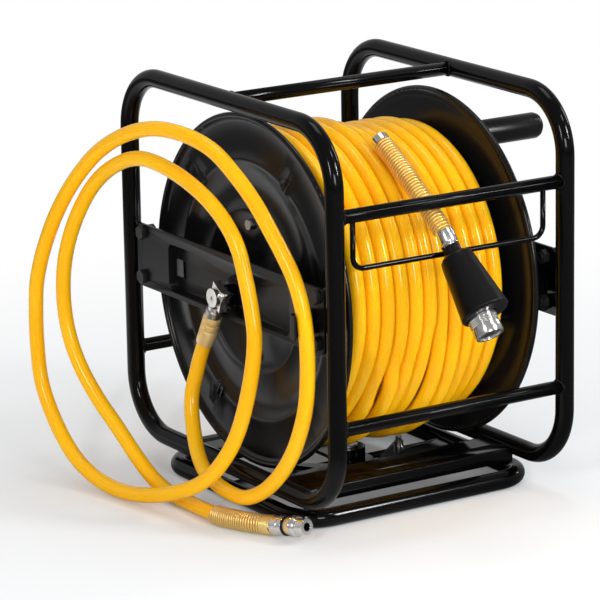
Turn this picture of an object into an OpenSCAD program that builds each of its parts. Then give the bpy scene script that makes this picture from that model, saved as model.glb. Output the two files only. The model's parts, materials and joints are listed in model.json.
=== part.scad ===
// Portable hose reel in a tubular cage on a swivel base.
// X is the drum's axle, front is -Y, Z is up, and the origin is on the swivel's
// axis at floor level. All lengths are in millimetres.

/* [Cage] */
// distance between the two side hoops, tube centre to tube centre
hoop_span = 275; // [270:1:290]
// height of a side hoop's top run, tube centre
hoop_top = 416; // [410:1:430]
// height of a side hoop's bottom run, tube centre
hoop_bottom = 35; // [35:1:36]
// half the depth of a side hoop, tube centre
hoop_half_depth = 193.5; // [193:0.5:205]
// corner radius of a side hoop, tube centre
hoop_corner = 60; // [50:1:70]
// outside radius of the frame tube
tube_r = 9.5; // [9:0.5:9.5]
// radius of the cross bars
bar_r = 7; // [6:0.5:7]
// radius of the wire rest's rod
wire_r = 2.75; // [2:0.25:2.75]

/* [Base] */
// width of the base hoop along the axle, tube centre
base_w = 279; // [270:1:280]
// depth of the base hoop, tube centre
base_d = 262; // [250:1:264]
// corner radius of the base hoop
base_corner = 36; // [30:1:50]

/* [Drum] */
// height of the axle above the floor
axle_z = 216; // [216:1:217]
// outside radius of the flanges
flange_r = 182.5; // [178:0.5:182.5]
// radius of the drum's barrel
barrel_r = 118; // [80:1:118]
// radius of the axle
axle_r = 12.5; // [11:0.5:12.5]

/* [Hose] */
// outside radius of the hose
hose_r = 8; // [7.5:0.25:8]
// spacing of the wound turns
turn_pitch = 17; // [16.8:0.1:17.2]

/* [Crank] */
// distance of the grip from the axle
crank_throw = 126; // [100:1:130]
// radius of the grip
grip_r = 13.85; // [12:0.05:15]

/* [Hidden] */
$fn = 96;
run = 0.05;
sheet = 2;
hoop_x = hoop_span / 2;
panel_x = hoop_x - 7.5;
bolt_y = hoop_half_depth - 27.5;
outer_turn_r = 157;
lock_x = 60;
lock_y = -8;
turns = 11.6;
ring_count = 24;

// ---------- shared helpers ----------

function unit(v) = v / norm(v);

// a point on the smooth curve through the list p, at a fractional index
function curve_at(p, s) =
    let (n = len(p) - 1)
    let (i = min(n - 1, max(0, floor(s))))
    let (t = s - i)
    let (a = p[max(0, i - 1)])
    let (b = p[i])
    let (c = p[i + 1])
    let (d = p[min(n, i + 2)])
    0.5 * (2 * b + (c - a) * t + (2 * a - 5 * b + 4 * c - d) * t * t
        + (3 * b - a - 3 * c + d) * t * t * t);

// direction of travel along a list of points
function heading(q, i) = unit(q[min(len(q) - 1, i + 1)] - q[max(0, i - 1)]);

// a side direction carried along the points without twist
function carried(q, v0) =
    [for (i = 0, v = v0; i < len(q);
        i = i + 1,
        v = (i < len(q)) ? unit(v - (v * heading(q, i)) * heading(q, i)) : v) v];

function side_of(t) = abs(t[0]) < 0.8 ? unit(cross(t, [1, 0, 0])) : unit(cross(t, [0, 1, 0]));

// faces of a tube of n rings with k sides, closed at both ends
function tube_faces(n, k) = concat(
    [for (i = [0 : n - 2]) for (j = [0 : k - 1])
        [i * k + j, i * k + (j + 1) % k, (i + 1) * k + (j + 1) % k]],
    [for (i = [0 : n - 2]) for (j = [0 : k - 1])
        [i * k + j, (i + 1) * k + (j + 1) % k, (i + 1) * k + j]],
    [[for (j = [0 : k - 1]) k - 1 - j]],
    [[for (j = [0 : k - 1]) (n - 1) * k + j]]
);

module swept(q, side, r, k) {
    rings = [for (i = [0 : len(q) - 1])
        let (t = heading(q, i))
        let (u = unit(side[i] - (side[i] * t) * t))
        let (w = cross(t, u))
        for (j = [0 : k - 1]) q[i] + r * (cos(360 * j / k) * u + sin(360 * j / k) * w)];
    polyhedron(points = rings, faces = tube_faces(len(q), k), convexity = 8);
}

module hose_along(q, r, k) {
    first = side_of(heading(q, 0));
    swept(q, carried(q, first), r, k);
}

// centres of a wire wound round the curve p, and its outward directions
function coil_frame(p, s) =
    let (t = unit(curve_at(p, s + 0.01) - curve_at(p, s - 0.01)))
    let (u = unit(cross(t, [0.3, 0.2, 1])))
    [t, u, cross(t, u)];

function coil_out(p, s, a) =
    let (f = coil_frame(p, s))
    cos(a) * f[1] + sin(a) * f[2];

module coil_round(p, s0, s1, curls, coil_r, rod_r) {
    n = curls * 8;
    out = [for (i = [0 : n]) coil_out(p, s0 + (s1 - s0) * i / n, i * 45)];
    q = [for (i = [0 : n]) curve_at(p, s0 + (s1 - s0) * i / n) + coil_r * out[i]];
    swept(q, out, rod_r, 6);
}

// a closed rounded rectangle of tube in the XY plane
module tube_loop(w, h, c, r) {
    for (sx = [-1, 1]) for (sy = [-1, 1])
        translate([sx * (w / 2 - c), sy * (h / 2 - c), 0])
            rotate([0, 0, sx > 0 ? (sy > 0 ? 0 : 270) : (sy > 0 ? 90 : 180)])
                rotate_extrude(angle = 90) translate([c, 0]) circle(r = r);
    for (sx = [-1, 1])
        translate([sx * w / 2, 0, 0]) rotate([90, 0, 0])
            cylinder(r = r, h = h - 2 * c, center = true);
    for (sy = [-1, 1])
        translate([0, sy * h / 2, 0]) rotate([0, 90, 0])
            cylinder(r = r, h = w - 2 * c, center = true);
}

// points of a rectangle with rounded corners
function rounded(w, h, c, n) = [
    for (q = [[1, 1, 0], [-1, 1, 90], [-1, -1, 180], [1, -1, 270]]) for (i = [0 : n])
        [q[0] * (w / 2 - c) + c * cos(q[2] + 90 * i / n),
         q[1] * (h / 2 - c) + c * sin(q[2] + 90 * i / n)]
];

// revolves a profile of [distance along X, radius] about the X axis
module about_x(profile) {
    rotate([0, 90, 0]) rotate_extrude() polygon([for (p = profile) [p[1], p[0]]]);
}

module rod_x(x0, x1, r) {
    translate([x0, 0, 0]) rotate([0, 90, 0]) cylinder(r = r, h = x1 - x0);
}

module hex_x(x0, x1, flats) {
    translate([x0, 0, 0]) rotate([0, 90, 0])
        cylinder(r = flats / 2 / cos(30), h = x1 - x0, $fn = 6);
}

// ---------- base ----------

module base_hoop() {
    color([0.02, 0.02, 0.02])
        translate([0, 0, tube_r]) tube_loop(base_w, base_d, base_corner, tube_r);
}

module base_crossbar() {
    color([0.02, 0.02, 0.02])
        difference() {
            translate([-base_w / 2 + 6, -20, 8]) cube([base_w - 12, 40, 5]);
            translate([0, 0, 7]) cylinder(r = 6, h = 7);
            for (s = [-1, 1])
                translate([s * lock_x, s * lock_y, 7]) cylinder(r = 2.75, h = 7);
        }
}

module pivot_bolt() {
    color([0.7, 0.7, 0.68]) {
        translate([0, 0, 1]) cylinder(r = 6, h = 34);
        translate([0, 0, 33.2]) cylinder(r = 12, h = 1.8);
        translate([0, 0, 35]) cylinder(r = 11, h = 6.5, $fn = 6);
    }
}

module pivot_nut() {
    color([0.7, 0.7, 0.68])
        difference() {
            translate([0, 0, 2]) cylinder(r = 11, h = 6, $fn = 6);
            translate([0, 0, 1.5]) cylinder(r = 6, h = 7);
        }
}

module pivot_bush() {
    color([0.75, 0.6, 0.35])
        difference() {
            translate([0, 0, 15]) cylinder(r = 9, h = 18.2);
            translate([0, 0, 14]) cylinder(r = 6, h = 21);
        }
}

module thrust_washer() {
    color([0.7, 0.7, 0.68])
        difference() {
            translate([0, 0, 13]) cylinder(r = 17, h = 2);
            translate([0, 0, 12]) cylinder(r = 6, h = 4);
        }
}

// ---------- cage ----------

module side_hoop(s) {
    difference() {
        union() {
            translate([s * hoop_x, 0, (hoop_top + hoop_bottom) / 2]) rotate([90, 0, 90])
                tube_loop(2 * hoop_half_depth, hoop_top - hoop_bottom, hoop_corner, tube_r);
            for (f = [-1, 1])
                translate([s * hoop_x - (s > 0 ? 3.5 : 0.5), f * (bolt_y + 6.25) - 18.25,
                    axle_z - 26])
                    cube([4, 36.5, 66]);
        }
        for (f = [-1, 1]) for (z = [202, 249])
            translate([0, f * bolt_y, axle_z - 216 + z]) rod_x(s * hoop_x - 8, s * hoop_x + 8, 4.2);
    }
}

module left_hoop() {
    color([0.02, 0.02, 0.02]) side_hoop(-1);
}

module right_hoop() {
    color([0.02, 0.02, 0.02]) side_hoop(1);
}

module cross_bar(y, z) {
    translate([0, y, z]) rod_x(-hoop_x + 6, hoop_x - 6, bar_r);
}

module top_bar() {
    color([0.02, 0.02, 0.02]) cross_bar(0, hoop_top);
}

module front_upper_bar() {
    color([0.02, 0.02, 0.02]) cross_bar(-hoop_half_depth, 331.5);
}

module front_lower_bar() {
    color([0.02, 0.02, 0.02]) cross_bar(-hoop_half_depth, 119);
}

module rear_lower_bar() {
    color([0.02, 0.02, 0.02]) cross_bar(hoop_half_depth, 119);
}

module wire_rest() {
    x0 = -117;
    x1 = 110;
    z0 = 278;
    c = 12;
    color([0.02, 0.02, 0.02])
        translate([0, -hoop_half_depth, 0]) {
            for (x = [x0, x1])
                translate([x, 0, z0 + c]) cylinder(r = wire_r, h = 326.5 - z0 - c);
            translate([0, 0, z0]) rod_x(x0 + c, x1 - c, wire_r);
            translate([x0 + c, 0, z0 + c]) rotate([90, 0, 0]) rotate([0, 0, 180])
                rotate_extrude(angle = 90) translate([c, 0]) circle(r = wire_r);
            translate([x1 - c, 0, z0 + c]) rotate([90, 0, 0]) rotate([0, 0, 270])
                rotate_extrude(angle = 90) translate([c, 0]) circle(r = wire_r);
        }
}

module channel() {
    translate([-hoop_x + 6, 0, 0]) rotate([90, 0, 90])
        linear_extrude(height = hoop_span - 12)
            polygon([[-112, 20], [-112, 33.5], [-110.5, 35], [-93.5, 35], [-92, 34], [-90.5, 35],
                [-63.5, 35], [-62, 33.5], [-62, 20], [-64, 20], [-64, 33], [-110, 33],
                [-110, 20]]);
}

module front_channel() {
    color([0.02, 0.02, 0.02]) channel();
}

module rear_channel() {
    color([0.02, 0.02, 0.02]) rotate([0, 0, 180]) channel();
}

module swivel_plate() {
    color([0.02, 0.02, 0.02])
        difference() {
            translate([0, 0, 20]) linear_extrude(height = 4) {
                polygon([[-100, -62], [100, -62], [104, -35], [76, -25], [54, -21.5], [68.2, 1],
                    [64, 8], [12, -37], [18, -20], [18, 62], [-18, 62], [-18, -20], [-12, -37],
                    [-64, 8], [-68.2, 1], [-54, -21.5], [-76, -25], [-104, -35]]);
                circle(r = 20.5);
            }
            translate([0, 0, 19]) cylinder(r = 13, h = 6);
            translate([lock_x, lock_y, 19]) cylinder(r = 5, h = 6);
        }
}

module pivot_hub() {
    color([0.03, 0.03, 0.03])
        difference() {
            union() {
                translate([0, 0, 15.3]) cylinder(r = 13, h = 17.5);
                translate([0, 0, 24]) cylinder(r = 19.5, h = 8.8);
            }
            translate([0, 0, 14]) cylinder(r = 9 + run, h = 20);
        }
}

module lock_barrel() {
    color([0.6, 0.6, 0.6])
        difference() {
            translate([lock_x, lock_y, 17]) cylinder(r = 5, h = 13);
            translate([lock_x, lock_y, 16]) cylinder(r = 2.5 + run, h = 15);
            translate([lock_x, lock_y, 19]) cylinder(r = 4, h = 9.7);
        }
}

// pressed tray, its outer face towards -X
module panel() {
    difference() {
        union() {
            translate([-hoop_x - 3.5, 0, 224.5]) rotate([90, 0, 90]) linear_extrude(height = 3)
                polygon(rounded(2 * bolt_y + 24, 67, 10, 4));
            translate([-hoop_x - 0.5, 0, 222]) rotate([90, 0, 90]) linear_extrude(height = 11)
                polygon(rounded(236, 56, 9, 4));
        }
        translate([-hoop_x - 4, 0, 222]) rotate([90, 0, 90]) linear_extrude(height = 11.5)
            polygon(rounded(230, 50, 7, 4));
        translate([0, 0, axle_z]) rod_x(-panel_x - 1, -panel_x + 4, 13.5);
        translate([-panel_x - 1, 99, 210]) cube([5, 19, 19]);
        for (y = [-bolt_y, bolt_y]) for (z = [202, 249])
            translate([0, y, z]) rod_x(-hoop_x - 5, -hoop_x, 4.2);
    }
}

module left_panel() {
    color([0.03, 0.03, 0.03]) translate([0, 0, axle_z - 216]) panel();
}

module right_panel() {
    color([0.03, 0.03, 0.03]) translate([0, 0, axle_z - 216]) mirror([1, 0, 0]) panel();
}

module panel_bolts() {
    for (y = [-bolt_y, bolt_y]) for (z = [202, 249])
        translate([0, y, axle_z - 216 + z]) {
            hex_x(-hoop_x - 8.5, -hoop_x - 3.5, 13);
            rod_x(-hoop_x - 4, -hoop_x + 11, 4);
            hex_x(-hoop_x + 3.5, -hoop_x + 9.5, 13);
        }
}

module left_panel_bolts() {
    color([0.1, 0.1, 0.1]) panel_bolts();
}

module right_panel_bolts() {
    color([0.1, 0.1, 0.1]) mirror([1, 0, 0]) panel_bolts();
}

module bearing() {
    b = axle_r + run;
    about_x([[-127, b], [-127, 28], [-124, 28], [-124, 20], [-118, 20], [-118, b]]);
}

module left_bearing() {
    color([0.4, 0.4, 0.4]) translate([0, 0, axle_z]) bearing();
}

module right_bearing() {
    color([0.4, 0.4, 0.4]) translate([0, 0, axle_z]) mirror([1, 0, 0]) bearing();
}

module inlet_bracket() {
    color([0.03, 0.03, 0.03]) translate([0, 0, axle_z])
        about_x([[-130, 8], [-130, 18.5], [-133, 18.5], [-133, 11], [-146, 11], [-146, 8]]);
}

// the inlet elbow is built hanging straight down, then turned towards the front of the loop
module elbow_pose() {
    translate([0, 0, axle_z]) rotate([28, 0, 0]) children();
}

module elbow_body() {
    color([0.72, 0.72, 0.7]) elbow_pose()
        difference() {
            union() {
                translate([-154.5, 0, 0]) rotate([90, 0, 90]) linear_extrude(height = 8.5)
                    polygon([[-11.6, -11.6], [11.6, -11.6], [10.6, -5.5], [10.2, 0], [10.6, 5.5],
                        [11.6, 11.6], [5.5, 10.6], [0, 10.2], [-6, 10.9], [-11, 12.9],
                        [-16.4, 16.4], [-12.9, 11], [-10.9, 6], [-10.2, 0], [-10.6, -5.5]]);
                translate([-151.5, 0, -17]) cylinder(r = 7.5, h = 5.8);
            }
            rod_x(-152.5, -145, 7 + run);
            translate([-151.5, 0, -18]) cylinder(r = 4, h = 13);
        }
}

module elbow_screw() {
    color([0.75, 0.75, 0.73]) elbow_pose()
        difference() {
            rod_x(-160, -154.5, 9.75);
            rod_x(-161, -157, 1.7);
        }
}

module inlet_collar() {
    color([0.8, 0.65, 0.35]) elbow_pose()
        difference() {
            translate([-151.5, 0, -25]) cylinder(r = 8.6, h = 8);
            translate([-151.5, 0, -26]) cylinder(r = 4, h = 10);
        }
}

module inlet_ferrule() {
    color([0.8, 0.62, 0.3]) elbow_pose()
        translate([-151.5, 0, 0])
            rotate_extrude() polygon([[0, -25], [8.6, -25], [9.5, -27], [9.5, -32], [8.8, -33],
                [8.8, -34], [9.5, -35], [9.5, -40], [8.8, -41], [8.8, -42], [9.5, -43],
                [9.5, -60], [0, -60]]);
}

// ---------- free inlet hose ----------

LEADER = [
    [-151.5, 28.4, 162.65], [-152, 34, 152], [-154, 40, 133], [-161, 42, 99], [-170, 20, 59],
    [-180, -19, 38], [-182, -83, 32], [-173, -120, 49], [-166, -151, 85], [-161, -169, 129],
    [-160, -176, 171], [-160, -174, 221], [-163, -162, 265], [-169, -136, 304],
    [-178, -99, 348], [-191, -46, 385], [-209, 29, 391], [-226, 101, 359], [-240, 158, 297],
    [-249, 194, 224], [-252, 200, 165], [-253, 188, 94], [-248, 143, 37], [-241, 95, 15],
    [-233, 47, 12], [-224, -7, 23], [-212, -57, 45], [-201, -87, 77], [-191, -105, 121],
    [-182, -115, 191], [-181, -105, 243], [-184, -82, 300], [-195, -31, 340],
    [-211, 47, 358], [-225, 114, 323], [-235, 158, 251], [-236, 167, 178], [-229, 144, 116],
    [-214, 99, 63], [-204, 63, 27], [-197, 30, 10.4], [-197, -20, 9.8], [-196.4, -60, 10.3],
    [-188, -90, 10.4], [-170.2, -128.5, 12.5]
];
leader_end = LEADER[len(LEADER) - 1];
leader_dir = unit([0.2345, -0.958, 0.165]);
leader_last = len(LEADER) - 1;

// the curve in steps, its ends drawn straight along the fittings they enter
leader_steps = concat(
    [for (s = [0 : 0.55 : leader_last - 1.2]) curve_at(LEADER, s)],
    [curve_at(LEADER, leader_last - 0.75), leader_end - 12 * leader_dir, leader_end]
);

module leader_hose() {
    color([1, 0.72, 0.05]) hose_along(leader_steps, hose_r, 10);
}

module leader_guard() {
    color([0.75, 0.75, 0.72])
        coil_round(leader_steps, (leader_last - 2) / 0.55, len(leader_steps) - 1.15, 22, 9.3, 0.8);
}

module along(p, d) {
    b = acos(d[2]);
    c = atan2(d[1], d[0]);
    translate(p) rotate([0, b, c]) children();
}

module leader_ferrule() {
    color([0.75, 0.75, 0.72]) along(leader_end, leader_dir)
        rotate_extrude() polygon([[0, 0], [10, 0], [10, 9], [9.2, 10], [10.2, 11], [10.2, 16],
            [0, 16]]);
}

module leader_nipple() {
    color([0.75, 0.75, 0.72]) along(leader_end, leader_dir)
        difference() {
            union() {
                rotate_extrude() polygon([[0, 16], [9, 16], [9, 18], [7.8, 21], [7.8, 26],
                    [10.2, 26], [10.9, 27], [10.9, 28.4], [10.4, 29], [10.9, 29.6],
                    [10.9, 31], [10.2, 32], [9.6, 33], [0, 33]]);
                translate([0, 0, 32]) cylinder(r = 8.4, h = 12);
            }
            translate([0, 0, 17.5]) cylinder(r = 4.4, h = 28);
        }
}

// ---------- parked outlet end ----------

// the parked end lies on the wire rest, so its depth goes with the hoops'
depth_share = hoop_half_depth / 193.5;
OUTLET = [
    for (p = [
        [-8, -68, 377.5], [-8, -80, 372], [-8, -100, 360.8], [-8.5, -125, 346],
        [-9, -150, 329.5], [-9, -172, 313.5], [-8.5, -186, 302.5], [-8.3, -196.5, 293.9]
    ]) [p[0], p[1] * depth_share, p[2]]
];
outlet_last = len(OUTLET) - 1;
coupler_from = OUTLET[outlet_last];
coupler_dir = unit([0.026, -0.626, -0.779]);
shroud_tilt = 4;
shroud_turn = 150;

module outlet_hose() {
    color([1, 0.72, 0.05])
        hose_along([for (s = [0 : 0.25 : outlet_last]) curve_at(OUTLET, s)], hose_r, 10);
}

module outlet_guard() {
    color([0.75, 0.75, 0.72]) coil_round(OUTLET, 1.45, outlet_last - 0.72, 34, 9.3, 0.8);
}

module outlet_upper_ferrule() {
    t = unit(curve_at(OUTLET, 1.1) - curve_at(OUTLET, 0.9));
    color([0.75, 0.75, 0.72]) along(curve_at(OUTLET, 1), t)
        difference() {
            translate([0, 0, -1]) cylinder(r = 9.6, h = 8);
            translate([0, 0, -2]) cylinder(r = 8, h = 10);
        }
}

module outlet_lower_ferrule() {
    color([0.75, 0.75, 0.72]) along(coupler_from, coupler_dir)
        rotate_extrude() polygon([[8.2, -8], [9.4, -8], [9.4, 5], [8.8, 6], [9.4, 7], [9.4, 8],
            [0, 8], [0, 0], [8.2, 0]]);
}

// the rubber shroud sits a little askew on the coupler
module coupler_shroud() {
    color([0.03, 0.03, 0.03])
        difference() {
            along(coupler_from, coupler_dir) translate([0, 0, 12]) rotate([0, 0, shroud_turn])
                rotate([0, shroud_tilt, 0]) translate([0, 0, -12])
                    rotate_extrude() polygon([[0, 9.2], [9, 9.2], [9.2, 18], [13, 19], [16.5, 22],
                        [17.5, 27], [24.6, 82], [25, 85], [23.5, 87], [0, 87]]);
            along(coupler_from, coupler_dir) {
                translate([0, 0, 7]) cylinder(r = 7.5, h = 20);
                translate([0, 0, 22]) cylinder(r = 11, h = 60);
                translate([0, 0, 78]) cylinder(r = 16, h = 14);
            }
        }
}

module coupler_body() {
    color([0.75, 0.75, 0.75]) along(coupler_from, coupler_dir)
        rotate_extrude() polygon([[0, 8], [7.5, 8], [7.5, 22], [11, 22], [11, 106], [10, 107],
            [6, 107], [6, 70], [0, 70]]);
}

module coupler_sleeve() {
    color([0.75, 0.75, 0.75]) along(coupler_from, coupler_dir)
        rotate_extrude() polygon([[11 + run, 84], [13, 84], [15, 86], [15, 90], [14.2, 91],
            [15, 92], [14.2, 93], [15, 94], [14.2, 95], [15, 96], [14.2, 97], [15, 98],
            [15, 105], [14, 108], [11 + run, 108]]);
}

// ---------- drum ----------

// pressed disc, its outer face towards -X
module flange() {
    difference() {
        union() {
            about_x([[-109.5, axle_r], [-109.5, 83], [-110.7, 84.5], [-110.7, 86], [-109.5, 87.5],
                [-109.5, 129], [-111.5, 131], [-111.5, 136], [-110.2, 139], [-110.2, flange_r - 10.5],
                [-112, flange_r - 5], [-112, flange_r - 3], [-110, flange_r - 3],
                [-108.2, flange_r - 9.5], [-107.5, 137],
                [-107.5, axle_r]]);
            rotate([0, 90, 0]) rotate_extrude() translate([flange_r - 3.1, -112])
                circle(r = 3.1);
            for (a = [46, -61, 119, 226]) rotate([a, 0, 0]) for (w = [-3, 3])
                translate([-112.3, 129.5, w - 1]) cube([2.5, 15, 2]);
        }
        for (a = [87, 177, 267, 357]) rotate([a, 0, 0])
            translate([0, 68, 0]) rod_x(-114, -104, 3.1);
    }
}

module left_flange() {
    color([0.05, 0.05, 0.05]) translate([0, 0, axle_z]) flange();
}

module right_flange() {
    color([0.05, 0.05, 0.05]) translate([0, 0, axle_z]) mirror([1, 0, 0]) flange();
}

module hub() {
    about_x([[-117.5, axle_r], [-117.5, 20], [-115, 22], [-109.5, 24], [-109.5, axle_r]]);
}

module left_hub() {
    color([0.2, 0.2, 0.2]) translate([0, 0, axle_z]) hub();
}

module right_hub() {
    color([0.2, 0.2, 0.2]) translate([0, 0, axle_z]) mirror([1, 0, 0]) hub();
}

module drum_barrel() {
    color([0.05, 0.05, 0.05]) translate([0, 0, axle_z])
        about_x([[-107.5, barrel_r - sheet], [-107.5, barrel_r], [107.5, barrel_r],
            [107.5, barrel_r - sheet]]);
}

// centre radius of the outer turns, by place along the axle and by angle from the rear:
// the last few drop nearly to the barrel
function ease(x, a, b) = let (t = min(1, max(0, (x - a) / (b - a)))) t * t * (3 - 2 * t);
last_turn_r = barrel_r + 14;
function turn_r(x) = outer_turn_r - 2.5 * ease(x, -6, 8) - 4.5 * ease(x, 50, 78)
    - (outer_turn_r - 7 - last_turn_r) * ease(x, 82, 98);
function turn_sag(x) = 7.5 * ease(x, -4, 10) * (1 - 0.6 * ease(x, 50, 78) - 0.3 * ease(x, 82, 98));
function turn_point(k) =
    let (a = 360 * k / ring_count + 200)
    let (x = turns * turn_pitch / 2 - turn_pitch * k / ring_count)
    let (r = turn_r(x) - turn_sag(x) * sin(a))
    [x, r * cos(a), r * sin(a)];

turn_count = turns * ring_count;
turn_first = [for (k = [0 : floor(turn_count)]) turn_point(k)];
turn_path = concat(
    [turn_first[0] + 16 * unit(turn_first[0] - turn_first[1])],
    turn_first,
    [turn_first[len(turn_first) - 1]
        + 16 * unit(turn_first[len(turn_first) - 1] - turn_first[len(turn_first) - 2])]
);

// top of the layers below the outer turns, clear of the chords between their rings
function layer_r(x) =
    (turn_r(x + hose_r) - turn_sag(x + hose_r) - hose_r) * cos(180 / ring_count) - 0.3;

module inner_hose() {
    half = 107.3;
    steps = [-14, -10, -6, -2, 2, 42, 50, 58, 66, 72, 76, 80, 84, 88, 92];
    color([1, 0.72, 0.05]) translate([0, 0, axle_z])
        about_x(concat(
            [[-half, barrel_r + 0.2], [-half, layer_r(-half)]],
            [for (x = steps) [x, layer_r(x)]],
            [[half, layer_r(half)], [half, barrel_r + 0.2]]
        ));
}

module wound_hose() {
    color([1, 0.72, 0.05]) translate([0, 0, axle_z])
        swept(turn_path, [for (q = turn_path) unit([0, q[1], q[2]])], hose_r, 6);
}

// a small plate at each end of the outer turns, square to the hose end it holds
module clip_at(q, t) {
    o = unit([0, q[1], q[2]]);
    m = cross(t, o);
    multmatrix([
        [t[0], o[0], m[0], q[0]], [t[1], o[1], m[1], q[1]], [t[2], o[2], m[2], q[2]],
        [0, 0, 0, 1]
    ])
        translate([0, -8.5, -8.2]) cube([5, 17, 16.4]);
}

module hose_clips() {
    n = len(turn_path) - 1;
    color([0.1, 0.1, 0.1]) translate([0, 0, axle_z]) {
        clip_at(turn_path[0], unit(turn_path[0] - turn_path[1]));
        clip_at(turn_path[n], unit(turn_path[n] - turn_path[n - 1]));
    }
}

module axle() {
    color([0.6, 0.6, 0.6]) translate([0, 0, axle_z])
        about_x([[-129.5, 7], [-129.5, axle_r], [152, axle_r], [152, 8], [167, 8], [167, 0],
            [-90, 0], [-90, 7]]);
}

module inlet_spindle() {
    color([0.7, 0.7, 0.68]) translate([0, 0, axle_z])
        about_x([[-152, 4], [-152, 7], [-90, 7], [-90, 4]]);
}

module tie_rods() {
    color([0.75, 0.75, 0.72]) translate([0, 0, axle_z])
        for (a = [87, 177, 267, 357]) rotate([a, 0, 0]) translate([0, 68, 0]) {
            rod_x(-109.6, 109.6, 3);
            hex_x(-113.5, -109.5, 10);
            hex_x(109.5, 113.5, 10);
        }
}

module crank_boss() {
    color([0.03, 0.03, 0.03]) translate([0, 0, axle_z])
        about_x([[131.5, axle_r], [131.5, 17], [152, 17], [152, axle_r]]);
}

module crank_arm() {
    color([0.03, 0.03, 0.03]) translate([0, 0, axle_z])
        difference() {
            translate([152, 0, crank_throw / 2]) rotate([90, 0, 90]) linear_extrude(height = 6)
                polygon(rounded(26, crank_throw + 28, 12, 5));
            rod_x(150, 160, 8);
            translate([0, 0, crank_throw]) rod_x(150, 160, 5);
        }
}

module crank_nut() {
    color([0.75, 0.75, 0.72]) translate([0, 0, axle_z])
        difference() {
            hex_x(158, 165, 24);
            rod_x(157, 166, 8);
        }
}

module grip_spindle() {
    color([0.7, 0.7, 0.68]) translate([0, 0, axle_z + crank_throw]) {
        rod_x(150.6, 242, 5);
        rod_x(150.6, 152, 7);
        rod_x(158, 160.5, 8);
    }
}

module grip() {
    color([0.03, 0.03, 0.03]) translate([0, 0, axle_z + crank_throw])
        about_x([[161, 5 + run], [161, grip_r - 2], [163, grip_r], [240, grip_r],
            [244, grip_r - 1.5], [247, grip_r - 5], [248, grip_r - 9], [248, 0], [243, 0],
            [243, 5 + run]]);
}

// ---------- swivel lock ----------

module lock_pin() {
    color([0.75, 0.75, 0.75])
        difference() {
            translate([lock_x, lock_y, 0]) {
                translate([0, 0, 9]) cylinder(r = 2.5, h = 24);
                translate([0, 0, 19.3]) cylinder(r = 3.7, h = 1.2);
                translate([0, 0, 30.5]) cylinder(r = 3.2, h = 4.5);
            }
            translate([lock_x, lock_y, 32.6]) rotate([0, 0, 57.3]) rotate([0, 90, 0])
                cylinder(r = 1.3, h = 10, center = true);
        }
}

module lock_ring() {
    color([0.8, 0.8, 0.8])
        translate([lock_x, lock_y, 32.6]) rotate([0, 0, 57.3]) rotate([-24, 0, 0])
            translate([0, 0, -9]) rotate([90, 0, 0])
                rotate_extrude() translate([9, 0]) circle(r = 1.1);
}

module lock_spring() {
    color([0.6, 0.6, 0.6])
        difference() {
            translate([lock_x, lock_y, 20.5]) cylinder(r = 3.6, h = 8.2);
            translate([lock_x, lock_y, 20]) cylinder(r = 2.8, h = 10);
        }
}

// ---------- least clear distance between turns that lie side by side ----------
turn_gap = min([for (k = [0 : len(turn_first) - ring_count - 1]) for (d = [-1, 0, 1])
    (k + ring_count + d < len(turn_first))
        ? norm(turn_first[k] - turn_first[k + ring_count + d]) - 2 * hose_r : 99]);
echo(least_turn_gap = turn_gap);

base_hoop();
base_crossbar();
pivot_bolt();
pivot_nut();
pivot_bush();
thrust_washer();
left_hoop();
right_hoop();
top_bar();
front_upper_bar();
front_lower_bar();
rear_lower_bar();
wire_rest();
front_channel();
rear_channel();
swivel_plate();
pivot_hub();
lock_barrel();
left_panel();
right_panel();
left_panel_bolts();
right_panel_bolts();
left_bearing();
right_bearing();
inlet_bracket();
elbow_body();
elbow_screw();
inlet_collar();
inlet_ferrule();
leader_hose();
leader_guard();
leader_ferrule();
leader_nipple();
outlet_hose();
outlet_guard();
outlet_upper_ferrule();
outlet_lower_ferrule();
coupler_shroud();
coupler_body();
coupler_sleeve();
left_flange();
right_flange();
left_hub();
right_hub();
drum_barrel();
inner_hose();
wound_hose();
hose_clips();
axle();
inlet_spindle();
tie_rods();
crank_boss();
crank_arm();
crank_nut();
grip_spindle();
grip();
lock_pin();
lock_ring();
lock_spring();
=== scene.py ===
"""Looks of the portable hose reel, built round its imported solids. Metres, +Z up, axle along X."""

import json
import math

import bmesh
import bpy
from mathutils import Matrix, Vector


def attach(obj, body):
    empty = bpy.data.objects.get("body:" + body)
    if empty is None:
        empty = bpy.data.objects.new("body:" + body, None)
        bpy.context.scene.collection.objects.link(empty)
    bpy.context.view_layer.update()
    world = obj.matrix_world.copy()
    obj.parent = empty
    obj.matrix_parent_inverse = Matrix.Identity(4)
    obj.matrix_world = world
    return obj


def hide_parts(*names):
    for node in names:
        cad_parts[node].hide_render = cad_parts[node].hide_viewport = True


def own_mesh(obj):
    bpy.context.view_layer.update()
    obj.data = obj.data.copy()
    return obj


MM = 0.001
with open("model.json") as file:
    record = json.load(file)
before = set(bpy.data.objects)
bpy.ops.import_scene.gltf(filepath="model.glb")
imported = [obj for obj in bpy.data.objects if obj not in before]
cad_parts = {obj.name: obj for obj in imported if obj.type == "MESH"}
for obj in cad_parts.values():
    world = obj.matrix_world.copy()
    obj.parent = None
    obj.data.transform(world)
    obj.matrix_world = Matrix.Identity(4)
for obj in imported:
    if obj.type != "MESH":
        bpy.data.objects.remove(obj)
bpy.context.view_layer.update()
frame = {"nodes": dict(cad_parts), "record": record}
scene = bpy.context.scene

# ---------- sizes shared with the solids, in millimetres ----------

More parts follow.
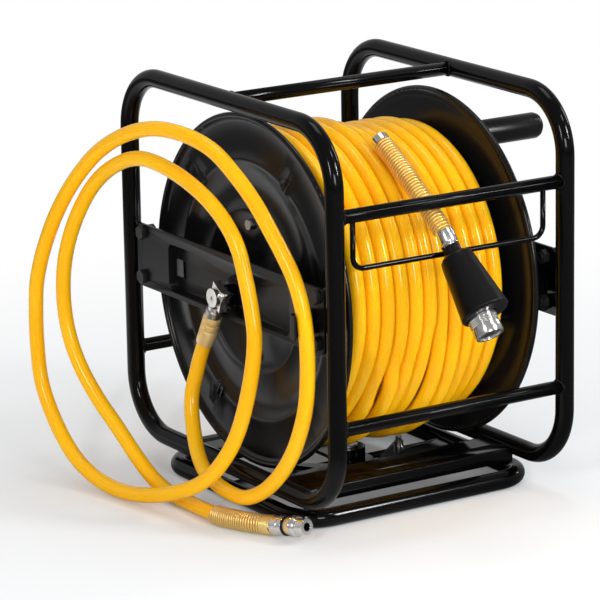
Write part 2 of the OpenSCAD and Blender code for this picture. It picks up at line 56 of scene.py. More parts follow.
AXLE_Z = 216
HOSE_R = 8
TURN_PITCH = 17
TURNS = 11.6
TURN_START = 200
LAYER_STEP = 17.6
COIL_R = 9.15
WIRE_R = 1.05
TUBE_R = 9.5
BAR_R = 7
HOOP_X = 137.5
HOOP_DEPTH = 193.5
HOOP_TOP = 416
UPPER_BAR_Z = 331.5
LOWER_BAR_Z = 119
OUTER_TURN_R = 157
LOCK_X = 60
LOCK_Y = -8


def at(*millimetres):
    """A point in metres."""
    return Vector(millimetres) * MM


# ---------- camera ----------


def add_camera():
    """A long lens from the front left, a little above."""
    data = bpy.data.cameras.new("camera")
    data.sensor_width = 36
    data.lens = 223.57
    data.clip_start = 0.5
    data.clip_end = 30
    camera = bpy.data.objects.new("camera", data)
    scene.collection.objects.link(camera)
    right = Vector((0.83984, -0.5426, -0.01598))
    up = Vector((0.14988, 0.20347, 0.96754))
    back = right.cross(up).normalized()
    up = back.cross(right).normalized()
    turn = Matrix((right.normalized(), up, back)).transposed().to_4x4()
    camera.matrix_world = Matrix.Translation(at(-2038.48, -3099.22, 1156.67)) @ turn
    scene.camera = camera
    scene.view_settings.view_transform = "Standard"


add_camera()

# ---------- node trees written as expressions ----------


class Value:
    """One output of a node, which takes part in sums."""

    def __init__(self, web, socket):
        self.web = web
        self.socket = socket

    def sum(self, operation, *terms):
        values = dict(enumerate(terms))
        return self.web.node("ShaderNodeMath", {"operation": operation}, values)

    def __add__(self, other):
        return self.sum("ADD", self, other)

    __radd__ = __add__

    def __sub__(self, other):
        return self.sum("SUBTRACT", self, other)

    def __rsub__(self, other):
        return self.sum("SUBTRACT", other, self)

    def __mul__(self, other):
        return self.sum("MULTIPLY", self, other)

    __rmul__ = __mul__

    def sine(self):
        return self.sum("SINE", self)

    def cosine(self):
        return self.sum("COSINE", self)

    def clamped(self):
        return self.web.node("ShaderNodeClamp", {}, {0: self, 1: 0.0, 2: 1.0})

    def ease(self, low, high):
        """0 before low and 1 after high, smooth between."""
        return self.web.node(
            "ShaderNodeMapRange", {"interpolation_type": "SMOOTHSTEP"}, {0: self, 1: low, 2: high}
        )


class Web:
    """A tree of nodes. Each call adds one node and gives one of its outputs."""

    def __init__(self, tree):
        self.tree = tree

    def node(self, kind, settings=None, values=None, out=0):
        made = self.tree.nodes.new(kind)
        for name, setting in (settings or {}).items():
            setattr(made, name, setting)
        for name, value in (values or {}).items():
            if isinstance(value, Value):
                self.tree.links.new(value.socket, made.inputs[name])
            else:
                made.inputs[name].default_value = value
        return Value(self, made.outputs[out])

    def mix(self, share, first, second):
        """Between two colours."""
        return self.node("ShaderNodeMix", {"data_type": "RGBA"}, {0: share, 6: first, 7: second}, 2)

    def noise(self, place, scale, detail=3.0, roughness=0.5):
        values = {"Vector": place, "Scale": scale, "Detail": detail, "Roughness": roughness}
        return self.node("ShaderNodeTexNoise", {}, values)

    def vector(self, x, y, z):
        return self.node("ShaderNodeCombineXYZ", {}, {0: x, 1: y, 2: z})

    def along(self, operation, *terms):
        """Vector sums."""
        settings = {"operation": operation}
        return self.node("ShaderNodeVectorMath", settings, dict(enumerate(terms)))


def rgb(red, green, blue):
    return (red, green, blue, 1.0)


# ---------- finishes ----------


class Finish:
    """A material with one principled shader, read on object coordinates."""

    def __init__(self, name, **fixed):
        self.material = bpy.data.materials.new(name)
        self.material.use_nodes = True
        self.web = Web(self.material.node_tree)
        nodes = self.material.node_tree.nodes
        self.shader = next(n for n in nodes if n.type == "BSDF_PRINCIPLED")
        for key, value in fixed.items():
            label = key.replace("_", " ").title().replace("Ior", "IOR")
            self.shader.inputs[label].default_value = value
        self.place = self.web.node("ShaderNodeTexCoord", {}, {}, "Object")

    def feed(self, name, value):
        self.material.node_tree.links.new(value.socket, self.shader.inputs[name])

    def bump(self, height, strength, distance):
        values = {"Strength": strength, "Distance": distance, "Height": height}
        self.feed("Normal", self.web.node("ShaderNodeBump", {}, values))


def powder_coat(name, dark, light, gloss, peel, mirror):
    """Baked paint: a fine orange peel, and a gloss that drifts a little."""
    coat = Finish(name, specular_ior_level=mirror)
    cloud = coat.web.noise(coat.place, 9.0, 4.0)
    speck = coat.web.noise(coat.place, 900.0, 2.0)
    coat.feed("Base Color", coat.web.mix(cloud, dark, light))
    coat.feed("Roughness", gloss + (cloud - 0.5) * 0.10 + (speck - 0.5) * 0.05)
    skin = coat.web.noise(coat.place, 420.0, 2.0) * 0.7 + speck * 0.3
    coat.bump(skin, peel, 0.0004)
    return coat.material


def plated(name, dark, light, rough, metal=1.0):
    """Plated metal: cloudy tone and fine grain."""
    skin = Finish(name, metallic=metal)
    cloud = skin.web.noise(skin.place, 45.0, 5.0, 0.6)
    fine = skin.web.noise(skin.place, 960.0, 3.0)
    skin.feed("Base Color", skin.web.mix(cloud.ease(0.3, 0.7), dark, light))
    skin.feed("Roughness", rough + (cloud - 0.5) * 0.10 + (fine - 0.5) * 0.06)
    skin.bump(fine, 0.03, 0.0001)
    return skin.material


def hose_skin():
    """Soft yellow tube: a clear satin skin, with faint clouds in the colour."""
    skin = Finish(
        "hose_yellow",
        specular_ior_level=0.3,
        subsurface_weight=0.6,
        subsurface_scale=0.008,
        subsurface_radius=(1.0, 0.45, 0.08),
    )
    cloud = skin.web.noise(skin.place, 14.0, 3.0)
    fine = skin.web.noise(skin.place, 380.0, 2.0)
    skin.feed(
        "Base Color",
        skin.web.mix(cloud.ease(0.25, 0.75), rgb(1.0, 0.475, 0.004), rgb(1.0, 0.53, 0.007)),
    )
    skin.feed("Roughness", 0.18 + (cloud - 0.5) * 0.08 + (fine - 0.5) * 0.05)
    skin.bump(fine, 0.05, 0.0002)
    return skin.material


def moulded(name, dark, light, rough, grain, strength):
    """Rubber or plastic with a fine moulded grain."""
    skin = Finish(name, specular_ior_level=0.25)
    cloud = skin.web.noise(skin.place, 22.0, 3.0)
    fine = skin.web.noise(skin.place, grain, 3.0, 0.6)
    skin.feed("Base Color", skin.web.mix(cloud, dark, light))
    skin.feed("Roughness", rough + (fine - 0.5) * 0.14)
    skin.bump(fine, strength, 0.0003)
    return skin.material


FINISHES = {
    "frame_black": powder_coat(
        "frame_black", rgb(0.001, 0.001, 0.0011), rgb(0.0022, 0.0022, 0.0024), 0.12, 0.04, 0.18
    ),
    "panel_black": powder_coat(
        "panel_black", rgb(0.004, 0.004, 0.0042), rgb(0.007, 0.007, 0.0073), 0.30, 0.08, 0.24
    ),
    "drum_grey": powder_coat(
        "drum_grey", rgb(0.004, 0.004, 0.0042), rgb(0.0075, 0.0075, 0.0078), 0.20, 0.05, 0.32
    ),
    "black_fixings": plated(
        "black_fixings", rgb(0.015, 0.015, 0.015), rgb(0.03, 0.03, 0.03), 0.42, 0.4
    ),
    "zinc": plated("zinc", rgb(0.50, 0.49, 0.465), rgb(0.70, 0.69, 0.66), 0.30),
    "nickel": plated("nickel", rgb(0.74, 0.73, 0.71), rgb(0.90, 0.89, 0.87), 0.17, 0.97),
    "spring_steel": plated(
        "spring_steel", rgb(0.88, 0.62, 0.19), rgb(0.99, 0.78, 0.33), 0.36, 0.75
    ),
    "brass": plated("brass", rgb(0.90, 0.60, 0.22), rgb(1.0, 0.78, 0.38), 0.34, 0.5),
    "hose_yellow": hose_skin(),
    "shroud_black": moulded(
        "shroud_black", rgb(0.0015, 0.0015, 0.0018), rgb(0.003, 0.003, 0.0034), 0.36, 620.0, 0.14
    ),
    "grip_black": moulded(
        "grip_black", rgb(0.0025, 0.0025, 0.0027), rgb(0.005, 0.005, 0.0052), 0.30, 500.0, 0.08
    ),
}
SLOT_OF = {part["node"]: part["material_slot"] for part in frame["record"]["subparts"]}
BODY_OF = {
    node: body
    for body, nodes in frame["record"]["behaviour"]["bodies"].items()
    for node in nodes
}


def placed(name, mesh, node, *replaced, slot=None):
    """Links a mesh as a piece that rides, is finished and stands in as its CAD node does."""
    piece = bpy.data.objects.new(name, mesh)
    scene.collection.objects.link(piece)
    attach(piece, BODY_OF[node])
    if replaced:
        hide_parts(*replaced)
    if not mesh.materials or mesh.materials[0] is None:
        mesh.materials.clear()
        mesh.materials.append(FINISHES[slot or SLOT_OF[node]])
    return piece


# ---------- smooth lines through points ----------


def curve_at(points, place):
    """The smooth curve through the points, at a fractional index."""
    last = len(points) - 1
    i = min(last - 1, max(0, math.floor(place)))
    t = place - i
    a, b, c, d = points[max(0, i - 1)], points[i], points[i + 1], points[min(last, i + 2)]
    return 0.5 * (
        2 * b + (c - a) * t + (2 * a - 5 * b + 4 * c - d) * t**2 + (3 * b - a - 3 * c + d) * t**3
    )


def between(points, first, last, step):
    """Points on the curve from index first to last, about step apart."""
    count = max(2, round((last - first) / step))
    return [curve_at(points, first + (last - first) * k / count) for k in range(count + 1)]


def tube_mesh(name, line, radius, sides):
    """A closed tube along a line, its rings carried along without twist."""
    mesh = bpy.data.meshes.new(name)
    work = bmesh.new()
    heading = (line[1] - line[0]).normalized()
    side = heading.cross(Vector((1, 0, 0)) if abs(heading.x) < 0.8 else Vector((0, 1, 0)))
    rings = []
    for i, point in enumerate(line):
        heading = (line[min(len(line) - 1, i + 1)] - line[max(0, i - 1)]).normalized()
        side = (side - side.dot(heading) * heading).normalized()
        other = heading.cross(side)
        rings.append(
            [
                work.verts.new(point + radius * (math.cos(a) * side + math.sin(a) * other))
                for a in (math.tau * k / sides for k in range(sides))
            ]
        )
    for before, after in zip(rings, rings[1:]):
        for k in range(sides):
            n = (k + 1) % sides
            work.faces.new((before[k], before[n], after[n], after[k])).smooth = True
    work.faces.new(list(reversed(rings[0])))
    work.faces.new(rings[-1])
    work.to_mesh(mesh)
    work.free()
    return mesh


# ---------- free inlet hose ----------

LEADER = [
    at(*p)
    for p in [
        (-151.5, 28.4, 162.65), (-152, 34, 152), (-154, 40, 133), (-161, 42, 99), (-170, 20, 59),
        (-180, -19, 38), (-182, -83, 32), (-173, -120, 49), (-166, -151, 85), (-161, -169, 129),
        (-160, -176, 171), (-160, -174, 221), (-163, -162, 265), (-169, -136, 304),
        (-178, -99, 348), (-191, -46, 385), (-209, 29, 391), (-226, 101, 359), (-240, 158, 297),
        (-249, 194, 224), (-252, 200, 165), (-253, 188, 94), (-248, 143, 37), (-241, 95, 15),
        (-233, 47, 12), (-224, -7, 23), (-212, -57, 45), (-201, -87, 77), (-191, -105, 121),
        (-182, -115, 191), (-181, -105, 243), (-184, -82, 300), (-195, -31, 340),
        (-211, 47, 358), (-225, 114, 323), (-235, 158, 251), (-236, 167, 178), (-229, 144, 116),
        (-214, 99, 63), (-204, 63, 27), (-197, 30, 10.4), (-197, -20, 9.8), (-196.4, -60, 10.3),
        (-188, -90, 10.4), (-170.2, -128.5, 12.5),
    ]
]
LEADER_WAY = Vector((0.2345, -0.958, 0.165)).normalized()
# points of the route from one station of the solid to the next
STATION_STEP = 0.55


def leader_line():
    """The stations of the solid, its end drawn straight along the ferrule."""
    last = len(LEADER) - 1
    count = math.floor((last - 1.2) / STATION_STEP + 1e-9)
    stations = [curve_at(LEADER, STATION_STEP * k) for k in range(count + 1)]
    return stations + [
        curve_at(LEADER, last - 0.75),
        LEADER[-1] - 12 * MM * LEADER_WAY,
        LEADER[-1],
    ]


leader_stations = leader_line()
leader_fine = between(leader_stations, 0, len(leader_stations) - 1, 0.125)
leader_length = sum((b - a).length for a, b in zip(leader_fine, leader_fine[1:]))
leader = placed(
    "leader_hose_skin",
    tube_mesh("leader_hose_skin", leader_fine, (HOSE_R - 0.25) * MM, 20),
    "leader_hose",
    "leader_hose",
)

# ---------- geometry trees ----------


class Growth(Web):
    """A geometry tree with named inputs, run on a bare mesh and kept as a plain mesh."""

    def __init__(self, name, **inputs):
        super().__init__(bpy.data.node_groups.new(name, "GeometryNodeTree"))
        face = self.tree.interface
        face.new_socket("Geometry", in_out="INPUT", socket_type="NodeSocketGeometry")
        face.new_socket("Geometry", in_out="OUTPUT", socket_type="NodeSocketGeometry")
        self.keys = {}
        for label, kind in inputs.items():
            made = face.new_socket(label, in_out="INPUT", socket_type="NodeSocket" + kind)
            self.keys[label] = made.identifier
        self.entry = self.tree.nodes.new("NodeGroupInput")
        self.seed = Value(self, self.entry.outputs["Geometry"])

    def given(self, label):
        return Value(self, self.entry.outputs[label])

    def end(self, geometry):
        """Realizes the instances, gives the finish and closes the tree."""
        solid = self.node("GeometryNodeRealizeInstances", {}, {0: geometry})
        done = self.node("GeometryNodeSetMaterial", {}, {0: solid, 2: self.given("finish")})
        out = self.tree.nodes.new("NodeGroupOutput")
        self.tree.links.new(done.socket, out.inputs[0])

    def run(self, name, mesh, **inputs):
        """The mesh that the tree makes of a bare mesh."""
        seed = bpy.data.objects.new(name + "_seed", mesh)
        scene.collection.objects.link(seed)
        modifier = seed.modifiers.new("growth", "NODES")
        modifier.node_group = self.tree
        for label, value in inputs.items():
            modifier[self.keys[label]] = value
        graph = bpy.context.evaluated_depsgraph_get()
        graph.update()
        grown = bpy.data.meshes.new_from_object(seed.evaluated_get(graph), depsgraph=graph)
        grown.name = name
        bpy.data.objects.remove(seed)
        return grown


def polyline(points):
    """A bare mesh of points joined in a row."""
    mesh = bpy.data.meshes.new("line")
    mesh.from_pydata(points, [(k, k + 1) for k in range(len(points) - 1)], [])
    return mesh


def swept_round(web, path, radius, sides):
    """A closed round tube along a curve, shaded smooth."""
    ring = web.node("GeometryNodeCurvePrimitiveCircle", {}, {"Resolution": sides, "Radius": radius})
    values = {"Curve": path, "Profile Curve": ring, "Fill Caps": True}
    tube = web.node("GeometryNodeCurveToMesh", {}, values)
    return web.node("GeometryNodeSetShadeSmooth", {}, {"Geometry": tube})


def wire_coil_tree():
    """A wire wound round the seed line."""
    web = Growth(
        "wire_coil", curls="Float", coil_radius="Float", wire_radius="Float", finish="Material"
    )
    curls = web.given("curls")
    line = web.node("GeometryNodeMeshToCurve", {}, {"Mesh": web.seed})
    values = {"Curve": line, "Count": curls * 20.0}
    line = web.node("GeometryNodeResampleCurve", {"mode": "COUNT"}, values)
    heading = web.node("GeometryNodeInputTangent")
    side = web.node("GeometryNodeInputNormal")
    other = web.along("CROSS_PRODUCT", heading, side)
    angle = web.node("GeometryNodeSplineParameter") * curls * math.tau
    radius = web.given("coil_radius")
    reach = web.along("SCALE", side)
    web.tree.links.new((angle.cosine() * radius).socket, reach.socket.node.inputs["Scale"])
    across = web.along("SCALE", other)
    web.tree.links.new((angle.sine() * radius).socket, across.socket.node.inputs["Scale"])
    offset = web.along("ADD", reach, across)
    wire = web.node("GeometryNodeSetPosition", {}, {"Geometry": line, "Offset": offset})
    web.end(swept_round(web, wire, web.given("wire_radius"), 8))
    return web


def winding_tree():
    """Hose wound on the barrel: it steps down beside the groove and sags below the axle."""
    web = Growth(
        "hose_winding",
        turns="Float",
        first="Float",
        hand="Float",
        swing="Float",
        depth="Float",
        tube_radius="Float",
        finish="Material",
    )
    turns = web.given("turns")
    line = web.node("GeometryNodeCurvePrimitiveLine")
    values = {"Curve": line, "Count": turns * 90.0}
    line = web.node("GeometryNodeResampleCurve", {"mode": "COUNT"}, values)
    wound = web.node("GeometryNodeSplineParameter") * turns
    x = web.given("first") - wound * TURN_PITCH
    angle = (wound + TURN_START / 360) * math.tau * web.given("hand")
    swing = web.given("swing")
    low = (0 - angle.sine()).ease(0.05, 0.7) * swing
    loose = (x + low * 60).ease(-6.0, 8.0)
    shoulder = x.ease(50.0, 78.0)
    edge = x.ease(82.0, 98.0)
    radius = OUTER_TURN_R - loose * 2.5 - shoulder * 4.5 - edge * 18
    sag = 7.5 * loose * (1 - 0.6 * shoulder - 0.3 * edge)
    radius = radius - sag * (1 - swing * 0.6 + swing * 0.6 * angle.sine()) - web.given("depth")
    radius = radius - low * (1 - loose) * 7
    hanging = x.ease(0.0, 12.0) * (1 - x.ease(38.0, 52.0))
    hanging = hanging + x.ease(-62.0, -45.0) * (1 - x.ease(-30.0, -18.0))
    radius = radius + low * loose * hanging * 8
    where = web.vector(wound * 0.9, wound * 0.37, web.given("depth"))
    radius = radius + (web.noise(where, 2.3, 1.0) - 0.5) * 1.1
    point = web.vector(
        x * MM, radius * angle.cosine() * MM, (AXLE_Z + radius * angle.sine()) * MM
    )
    line = web.node("GeometryNodeSetPosition", {}, {"Geometry": line, "Position": point})
    web.end(swept_round(web, line, web.given("tube_radius"), 18))
    return web


wire_coil = wire_coil_tree()
winding = winding_tree()

# ---------- hose on the drum ----------


def layer(name, node, **shape):
    """One layer of hose on the drum."""
    mesh = winding.run(
        name,
        polyline([(0, 0, 0), (0, 0, MM)]),
        tube_radius=HOSE_R * MM,
        finish=FINISHES["hose_yellow"],
        **shape,
    )
    placed(name, mesh, node, node)


layer(
    "hose_outer_turns",
    "wound_hose",
    turns=TURNS,
    first=TURNS * TURN_PITCH / 2,
    hand=1.0,
    swing=1.0,
    depth=0.0,
)
layer(
    "hose_inner_turns",
    "inner_hose",
    turns=10.4,
    first=78.0,
    hand=-1.0,
    swing=0.0,
    depth=LAYER_STEP,
)

# ---------- parked outlet end ----------

OUTLET = [
    at(*p)
    for p in [
        (-8, -68, 377.5), (-8, -80, 372), (-8, -100, 360.8), (-8.5, -125, 346), (-9, -150, 329.5),
        (-9, -172, 313.5), (-8.5, -186, 302.5), (-8.3, -196.5, 293.9),
    ]
]
outlet_fine = between(OUTLET, 0.9, len(OUTLET) - 1, 0.1)
placed(
    "outlet_hose_skin",
    tube_mesh("outlet_hose_skin", outlet_fine, HOSE_R * MM, 20),
    "outlet_hose",
    "outlet_hose",
)


def guard(name, node, line, curls):
    """The bend guard: close wire round a hose end."""
    mesh = wire_coil.run(
        name,
        polyline(line),
        curls=float(curls),
        coil_radius=COIL_R * MM,
        wire_radius=WIRE_R * MM,
        finish=FINISHES["spring_steel"],
    )
    return placed(name, mesh, node, node)


guard("outlet_guard_wire", "outlet_guard", between(OUTLET, 1.3, len(OUTLET) - 1.72, 0.1), 35)
leader_last = len(leader_stations) - 1
leader_guard = guard(
    "leader_guard_wire",
    "leader_guard",
    between(leader_stations, (len(LEADER) - 3) / STATION_STEP, leader_last - 0.15, 0.1),
    28,
)

# ---------- rigid pieces ----------

ROUND_NODES = (
    "base_hoop", "left_hoop", "right_hoop", "top_bar", "front_upper_bar", "front_lower_bar",
    "rear_lower_bar", "wire_rest", "lock_ring", "left_flange", "right_flange",
)
# how far each edge is eased, in millimetres; USUAL_EASING where a node isn't named
USUAL_EASING = 0.4
EDGES = dict.fromkeys(ROUND_NODES, 0.0)
EDGES.update(axle=0.3, inlet_spindle=0.3, elbow_body=0.6, crank_arm=0.5)
SOFT_NODES = {
    "leader_hose",
    "outlet_hose",
    "wound_hose",
    "inner_hose",
    "leader_guard",
    "outlet_guard",
    "lock_spring",
}


def eased(piece, width):
    """Breaks the sharp edges of a piece."""
    bevel = piece.modifiers.new("eased", "BEVEL")
    bevel.width = width * MM
    bevel.segments = 2
    bevel.limit_method = "ANGLE"
    bevel.angle_limit = math.radians(35)
    bevel.use_clamp_overlap = True
    bevel.harden_normals = True


def dressed(node, easing):
    """A rigid solid with its points merged, its edges eased and its shading smooth."""
    mesh = frame["nodes"][node].data.copy()
    mesh.materials.clear()
    work = bmesh.new()
    work.from_mesh(mesh)
    bmesh.ops.remove_doubles(work, verts=work.verts, dist=2e-6)
    for face in work.faces:
        face.smooth = True
    work.to_mesh(mesh)
    work.free()
    mesh.set_sharp_from_angle(angle=math.radians(32))
    piece = placed(node + "_piece", mesh, node, node)
    if easing:
        eased(piece, easing)


def turned_mesh(name, base, way, profile, sides=64):
    """A closed ring turned about a line: profile points are (along, radius) in millimetres."""
    side = way.cross(Vector((0, 0, 1))).normalized()
    other = way.cross(side)
    work = bmesh.new()
    rows = []
    for k in range(sides):
        turn = math.tau * k / sides
        out = math.cos(turn) * side + math.sin(turn) * other
        rows.append([work.verts.new(base + way * s * MM + out * r * MM) for s, r in profile])
    count = len(profile)
    for k in range(sides):
        near, far = rows[k], rows[(k + 1) % sides]
        for j in range(count):
            n = (j + 1) % count
            work.faces.new((near[j], near[n], far[n], far[j])).smooth = True
    bmesh.ops.recalc_face_normals(work, faces=work.faces)
    mesh = bpy.data.meshes.new(name)
    work.to_mesh(mesh)
    work.free()
    mesh.set_sharp_from_angle(angle=math.radians(40))
    return mesh


# plated fittings on the hose ends: line they are turned about, then (along, radius)
upper_way = (curve_at(OUTLET, 1.1) - curve_at(OUTLET, 0.9)).normalized()
coupler_way = Vector((0.026, -0.626, -0.779)).normalized()
TURNED = {
    "leader_ferrule": (
        LEADER[-1],
        LEADER_WAY,
        [(0, 0.02), (0, 10), (9, 10), (10, 9.2), (11, 10.2), (16, 10.2), (16, 0.02)],
    ),
    "leader_nipple": (
        LEADER[-1],
        LEADER_WAY,
        [
            (17.5, 0.02), (17.5, 4.4), (44, 4.4), (44, 8.4), (33, 8.4), (33, 9.6), (32, 10.2),
            (31, 10.9), (29.7, 10.9), (29.5, 9.9), (28.5, 9.9), (28.3, 10.9), (27, 10.9),
            (26, 10.2), (26, 7.8), (21, 7.8), (18, 9), (16, 9), (16, 0.02),
        ],
    ),
    "outlet_upper_ferrule": (
        curve_at(OUTLET, 1), upper_way, [(-1, 8), (-1, 9.6), (7, 9.6), (7, 8)]
    ),
    "outlet_lower_ferrule": (
        OUTLET[-1],
        coupler_way,
        [
            (-8, 8.2), (-8, 9.4), (5, 9.4), (6, 8.8), (7, 9.4), (8, 9.4), (8, 0.02), (0, 0.02),
            (0, 8.2),
        ],
    ),
    "coupler_body": (
        OUTLET[-1],
        coupler_way,
        [
            (8, 0.02), (8, 7.5), (22, 7.5), (22, 11), (106, 11), (107, 10), (107, 6), (70, 6),
            (70, 0.02),
        ],
    ),
    "coupler_sleeve": (
        OUTLET[-1],
        coupler_way,
        [
            (84, 11.05), (84, 13), (86, 15), (90, 15), (91, 14.2), (92, 15), (93, 14.2), (94, 15),
            (95, 14.2), (96, 15), (97, 14.2), (98, 15), (105, 15), (108, 14), (108, 11.05),
        ],
    ),
}

for node in frame["nodes"]:
    if node in TURNED:
        fitting = placed(node + "_piece", turned_mesh(node + "_piece", *TURNED[node]), node, node)
        eased(fitting, 0.2)
    elif node not in SOFT_NODES:
        dressed(node, EDGES.get(node, USUAL_EASING))

spring_mesh = wire_coil.run(
    "lock_spring_wire",
    polyline([at(LOCK_X, LOCK_Y, 20.9), at(LOCK_X, LOCK_Y, 28.3)]),
    curls=6.0,
    coil_radius=3.2 * MM,
    wire_radius=0.35 * MM,
    finish=FINISHES["spring_steel"],
)
spring = placed("lock_spring_wire", spring_mesh, "lock_spring", "lock_spring")
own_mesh(spring)

# ---------- small trim: weld beads and the hook that holds the free hose ----------


def weld_bead_tree():
    """A lumpy bead of weld metal laid along the seed line."""
    web = Growth("weld_bead", lump="Float", finish="Material")
    line = web.node("GeometryNodeMeshToCurve", {}, {"Mesh": web.seed})
    line = web.node("GeometryNodeResampleCurve", {"mode": "COUNT"}, {"Curve": line, "Count": 26})
    ball = web.node("GeometryNodeMeshIcoSphere", {}, {0: web.given("lump"), 1: 2})
    ball = web.node("GeometryNodeSetShadeSmooth", {}, {"Geometry": ball})
    size = web.noise(web.node("GeometryNodeInputPosition"), 400.0, 1.0) + 0.5
    values = {"Points": line, "Instance": ball, "Scale": size}
    web.end(web.node("GeometryNodeInstanceOnPoints", {}, values))
    return web


def weld_ring(y, z, side, upright):
    """Where a cross bar meets a hoop's upright, or the hoop's top run."""
    count = 32
    reach = BAR_R + 0.3
    ring = []
    for k in range(count + 1):
        turn = math.tau * k / count
        across = BAR_R * (math.cos(turn) if upright else math.sin(turn))
        gap = math.sqrt(TUBE_R**2 - across**2)
        point = at(side * (HOOP_X - gap), y + reach * math.cos(turn), z + reach * math.sin(turn))
        ring.append(point)
    return ring


weld_bead = weld_bead_tree()
for bar, y, z, upright in (
    ("top_bar", 0, HOOP_TOP, False),
    ("front_upper_bar", -HOOP_DEPTH, UPPER_BAR_Z, True),
    ("front_lower_bar", -HOOP_DEPTH, LOWER_BAR_Z, True),
    ("rear_lower_bar", HOOP_DEPTH, LOWER_BAR_Z, True),
):
    for side, word in ((-1, "left"), (1, "right")):
        name = bar + "_" + word + "_weld"
        ring = polyline(weld_ring(y, z, side, upright))
        bead = weld_bead.run(name, ring, lump=1.5 * MM, finish=FINISHES["frame_black"])
        placed(name, bead, bar)


def strap_mesh(name, line, thick, low, high):
    """Flat bar on edge, bent along a line seen from above."""
    sides = [[], []]
    for i, point in enumerate(line):
        heading = (line[min(len(line) - 1, i + 1)] - line[max(0, i - 1)]).normalized()
        for side, way in zip(sides, (1, -1)):
            side.append(point + Vector((-heading.y, heading.x, 0)) * way * thick / 2)
    work = bmesh.new()
    outline = sides[0] + sides[1][::-1]
    rows = [[work.verts.new((p.x, p.y, z)) for p in outline] for z in (low, high)]
    count = len(outline)
    for k in range(count):
        n = (k + 1) % count
        work.faces.new((rows[0][k], rows[0][n], rows[1][n], rows[1][k]))
    for k in range(len(line) - 1):
        far = count - 1 - k
        work.faces.new((rows[0][k + 1], rows[0][k], rows[0][far], rows[0][far - 1]))
        work.faces.new((rows[1][k], rows[1][k + 1], rows[1][far - 1], rows[1][far]))
    bmesh.ops.recalc_face_normals(work, faces=work.faces)
    mesh = bpy.data.meshes.new(name)
    work.to_mesh(mesh)
    work.free()
    return mesh


def round_section(along, radius, thick):
    """The section of a round ring."""
    turns = (math.tau * k / 10 for k in range(10))
    return [(along + thick * math.cos(a), radius + thick * math.sin(a)) for a in turns]


leader_seal = placed(
    "leader_seal_ring",
    turned_mesh("leader_seal_ring", LEADER[-1], LEADER_WAY, round_section(17.4, 9.0, 1.15)),
    "leader_nipple",
    slot="grip_black",
)
leader_neck = placed(
    "leader_neck_sleeve",
    turned_mesh(
        "leader_neck_sleeve",
        LEADER[-1],
        LEADER_WAY,
        [(18.6, 7.6), (18.6, 8.3), (19.0, 8.6), (24.8, 8.6), (25.4, 8.2), (25.4, 7.6)],
    ),
    "leader_nipple",
    slot="brass",
)

# painted shade: a black liner closed by a plug, inside the nipple's bore, stands in for the shade
# in the hole
leader_bore = placed(
    "leader_bore_painted_shade",
    turned_mesh(
        "leader_bore_painted_shade",
        LEADER[-1],
        LEADER_WAY,
        [(20, 4.35), (43.4, 4.35), (43.4, 3.9), (24, 3.9), (24, 0.02), (20, 0.02)],
        32,
    ),
    "leader_nipple",
    slot="grip_black",
)

HOOK = [
    at(*p, 0)
    for p in [
        (-140.9, -152), (-140.9, -158), (-143, -161), (-148, -162.2), (-160, -162.4),
        (-167, -163), (-170, -164.8), (-171.3, -168), (-171.5, -174),
    ]
]
HOOK_THICK = 2.4 * MM
HOOK_LOW = 0.211
HOOK_HIGH = 0.236
hook_mesh = strap_mesh("hose_hook", HOOK, HOOK_THICK, HOOK_LOW, HOOK_HIGH)
hook = placed("hose_hook", hook_mesh, "left_panel")
eased(hook, 0.5)

# ---------- floor, backdrop and light ----------

# the floor by the hose's end, which its fitting mirrors; glossy rays see the floor less dimmed
# here, a painted reflection
HOSE_END_PLACE = (-0.17, -0.19, 0.0)
# name, place, width, height, watts, and whether it lights matt surfaces
LAMPS = (
    ("key", (1.35, -2.2, 1.6), 0.5, 0.5, 26, True),
    ("streak_high", (1.3, -2.2, 1.5), 0.22, 0.12, 9, False),
    ("streak_low", (1.3, -2.25, 1.15), 0.22, 0.12, 9, False),
    ("second", (0.9, -1.9, 2.5), 0.4, 0.4, 8, True),
    ("front", (-0.7, -2.8, 0.9), 0.8, 0.6, 22, True),
    ("left", (-2.4, -1.9, 1.5), 0.2, 0.9, 26, True),
    ("right", (2.8, -0.2, 1.5), 0.25, 1.0, 10, True),
    ("top", (0.1, 0.3, 3.0), 1.2, 1.2, 12, True),
)


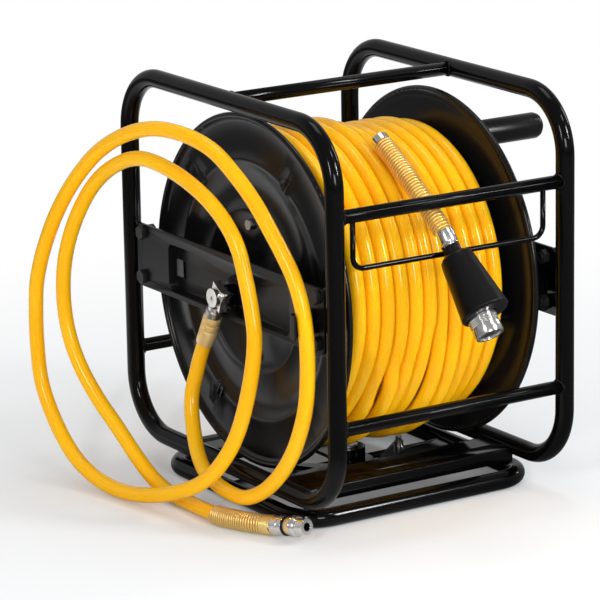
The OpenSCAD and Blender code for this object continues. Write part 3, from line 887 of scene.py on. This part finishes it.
def floor_finish():
    """White with a soft shadow to the eye. To glossy rays it carries a painted reflection: dimmer
    where polished pieces mirror it, least so by the hose's end, and glowing towards the rear.
    """
    material = bpy.data.materials.new("floor_white")
    material.use_nodes = True
    web = Web(material.node_tree)
    tree = material.node_tree
    tree.nodes.clear()
    white = web.node("ShaderNodeBsdfDiffuse", {}, {"Color": rgb(0.90, 0.92, 0.94)})
    glow = web.node("ShaderNodeEmission", {}, {"Color": rgb(1, 1, 1), "Strength": 1.0})
    seen = web.node("ShaderNodeLightPath", {}, {}, "Is Camera Ray")
    place = web.node("ShaderNodeTexCoord", {}, {}, "Object")
    reach = web.node("ShaderNodeVectorMath", {"operation": "LENGTH"}, {0: place}, "Value")
    fade = 0.12 + 0.88 * reach.ease(0.25, 1.1)
    mirrored = web.node("ShaderNodeLightPath", {}, {}, "Is Glossy Ray")
    rear = web.node("ShaderNodeSeparateXYZ", {}, {0: place}, "Y").ease(0.0, 0.5)
    back = rear * (1 - reach.ease(0.9, 1.4))
    # painted reflection: glossy rays see the rear floor glow
    shown = seen * fade + mirrored * back * 0.6
    lit = web.node("ShaderNodeMixShader", {}, {0: shown, 1: white, 2: glow})
    dark = web.node("ShaderNodeBsdfDiffuse", {}, {"Color": rgb(0, 0, 0)})
    offset = web.along("DISTANCE", place, HOSE_END_PLACE)
    gap = Value(web, offset.socket.node.outputs["Value"])
    # painted reflection: glossy rays see the floor darkened, least near the hose's end
    dim = mirrored * 0.78 * (1 - back) * (0.3 + 0.7 * gap.ease(0.06, 0.3))
    dimmed = web.node("ShaderNodeMixShader", {}, {0: dim, 1: lit, 2: dark})
    out = tree.nodes.new("ShaderNodeOutputMaterial")
    tree.links.new(dimmed.socket, out.inputs["Surface"])
    return material


def add_floor():
    """A wide floor just under the part."""
    mesh = bpy.data.meshes.new("floor")
    size = 12.0
    drop = Vector((0, 0, 0.0002))
    corners = [(-size, -size, 0), (size, -size, 0), (size, size, 0), (-size, size, 0)]
    mesh.from_pydata([Vector(c) - drop for c in corners], [], [(0, 1, 2, 3)])
    floor = bpy.data.objects.new("floor", mesh)
    scene.collection.objects.link(floor)
    mesh.materials.append(floor_finish())


def add_backdrop():
    """A white world, dimmer to glossy rays from the front and sides."""
    world = bpy.data.worlds.new("studio")
    world.use_nodes = True
    scene.world = world
    web = Web(world.node_tree)
    paths = world.node_tree.nodes.new("ShaderNodeLightPath")
    shown = Value(web, paths.outputs["Is Camera Ray"])
    mirrored = Value(web, paths.outputs["Is Glossy Ray"])
    through = Value(web, paths.outputs["Is Transmission Ray"])
    share = (shown + through).clamped()
    background = next(n for n in world.node_tree.nodes if n.type == "BACKGROUND")
    background.inputs["Color"].default_value = rgb(1, 1, 1)
    toward = web.node("ShaderNodeTexCoord", {}, {}, "Generated")
    behind = web.node("ShaderNodeSeparateXYZ", {}, {0: toward}, "Y").ease(0.3, 0.8)
    strength = 0.55 + share * 0.45 - mirrored * (0.27 - 0.27 * behind)
    world.node_tree.links.new(strength.socket, background.inputs["Strength"])


def add_lamps():
    """Area lamps turned to the middle of the part."""
    for name, place, width, height, power, lights in LAMPS:
        data = bpy.data.lights.new(name, "AREA")
        data.shape = "RECTANGLE"
        data.size = width
        data.size_y = height
        data.energy = power
        lamp = bpy.data.objects.new(name, data)
        scene.collection.objects.link(lamp)
        lamp.location = place
        aim = Vector((0, 0, 0.2)) - Vector(place)
        lamp.rotation_euler = aim.to_track_quat("-Z", "Y").to_euler()
        lamp.visible_diffuse = lights


add_floor()
add_backdrop()
add_lamps()
